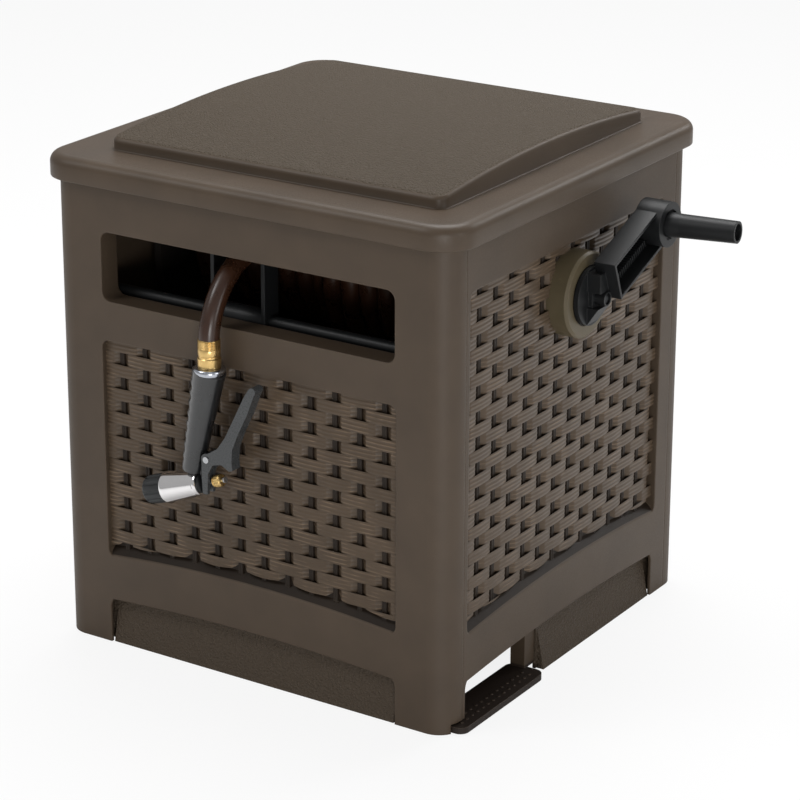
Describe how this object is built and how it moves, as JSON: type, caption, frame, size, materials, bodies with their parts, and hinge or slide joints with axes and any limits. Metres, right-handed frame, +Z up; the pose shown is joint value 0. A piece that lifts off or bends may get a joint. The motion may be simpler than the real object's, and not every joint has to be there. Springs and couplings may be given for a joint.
{
  "type": "hose reel box",
  "caption": "Square plastic hose reel box with a hinged lid, side crank, hose slot with a sliding guide, foot step, wound hose and pistol nozzle.",
  "frame": {"origin": "centre of the footprint, on the ground", "axes": "+X to the crank side, +Y from the slot to the hinges, +Z up"},
  "size_m": [0.7641, 0.625, 0.6509],
  "materials": {
    "panel_plastic": "moulded, fine grain",
    "lid_plastic": "moulded, leather grain on the raised panel",
    "base_plastic": "moulded, stippled",
    "step_plastic": "moulded",
    "bearing_plastic": "moulded, smooth",
    "reel_plastic": "moulded",
    "black_plastic": "moulded, satin",
    "grey_plastic": "moulded",
    "collar_plastic": "smooth",
    "grey_metal": "satin grey coat",
    "grip_rubber": "matt",
    "tip_rubber": "ribbed, matt",
    "seal_rubber": "smooth",
    "hose": "glossy, fine ribs",
    "steel": "zinc plated",
    "brass": "turned",
    "chrome": "polished"
  },
  "bodies": {
    "box": {"base_tray": "base_plastic", "front_panel": "panel_plastic", "back_panel": "panel_plastic", "left_panel": "panel_plastic", "right_panel": "panel_plastic", "panel_screws": "steel", "base_screws": "steel", "foot_step": "step_plastic", "foot_step_screws": "steel", "crank_bearing": "bearing_plastic", "inlet_bearing": "bearing_plastic", "bearing_screws": "steel", "inlet_cap": "bearing_plastic", "inlet_fitting": "brass", "inlet_seals": "seal_rubber", "guide_rod": "black_plastic", "guide_rail": "black_plastic", "lid_hinge_pins": "steel"},
    "lid": {"lid": "lid_plastic"},
    "reel": {"drum": "reel_plastic", "left_flange": "reel_plastic", "right_flange": "reel_plastic", "flange_screws": "steel", "water_tube": "grey_plastic", "hose_core": "hose", "hose_winding": "hose", "crank_arm": "black_plastic", "crank_screw": "steel", "grip_pin": "steel"},
    "crank_grip": {"crank_grip": "black_plastic"},
    "hose_guide": {"hose_guide": "black_plastic", "hose_lead": "hose", "hose_drop": "hose", "hose_coupling": "brass", "coupling_washer": "seal_rubber", "nozzle_collar": "collar_plastic", "nozzle_body": "grip_rubber", "nozzle_shell": "chrome", "nozzle_tip": "tip_rubber", "lever_pin": "steel"},
    "nozzle_lever": {"nozzle_lever": "grey_metal"},
    "valve_stem": {"valve_stem": "steel"},
    "flow_nut": {"flow_nut": "brass"}
  },
  "joints": [
    {"name": "lid_hinge", "type": "hinge", "parent": "box", "child": "lid", "pos_m": [0, 0.291, 0.5875], "axis": [-1, 0, 0], "range_deg": [0, 100]},
    {"name": "reel_spin", "type": "hinge", "parent": "box", "child": "reel", "pos_m": [0, -0.003, 0.472], "axis": [1, 0, 0], "continuous": true, "deforming": ["hose_lead"]},
    {"name": "grip_spin", "type": "hinge", "parent": "reel", "child": "crank_grip", "pos_m": [0.3458, 0.10976, 0.53869], "axis": [0.9962, 0.0812, 0.0318], "continuous": true},
    {"name": "guide_slide", "type": "slide", "parent": "box", "child": "hose_guide", "axis": [1, 0, 0], "range_m": [-0.155, 0.215], "deforming": ["hose_lead"]},
    {"name": "lever_pull", "type": "hinge", "parent": "hose_guide", "child": "nozzle_lever", "pos_m": [-0.0345, -0.308, 0.292], "axis": [0, -1, 0], "range_deg": [0, 16], "stiffness_Nm_per_rad": 1.5},
    {"name": "stem_slide", "type": "slide", "parent": "hose_guide", "child": "valve_stem", "axis": [0.9494, 0, 0.314], "range_m": [0, 0.0095]},
    {"name": "flow_twist", "type": "hinge", "parent": "valve_stem", "child": "flow_nut", "pos_m": [-0.02238, -0.308, 0.26574], "axis": [0.9494, 0, 0.314], "range_deg": [-360, 360]}
  ],
  "couplings": [
    {"joint": "stem_slide", "follows": "lever_pull", "m_per_rad": 0.034}
  ]
}
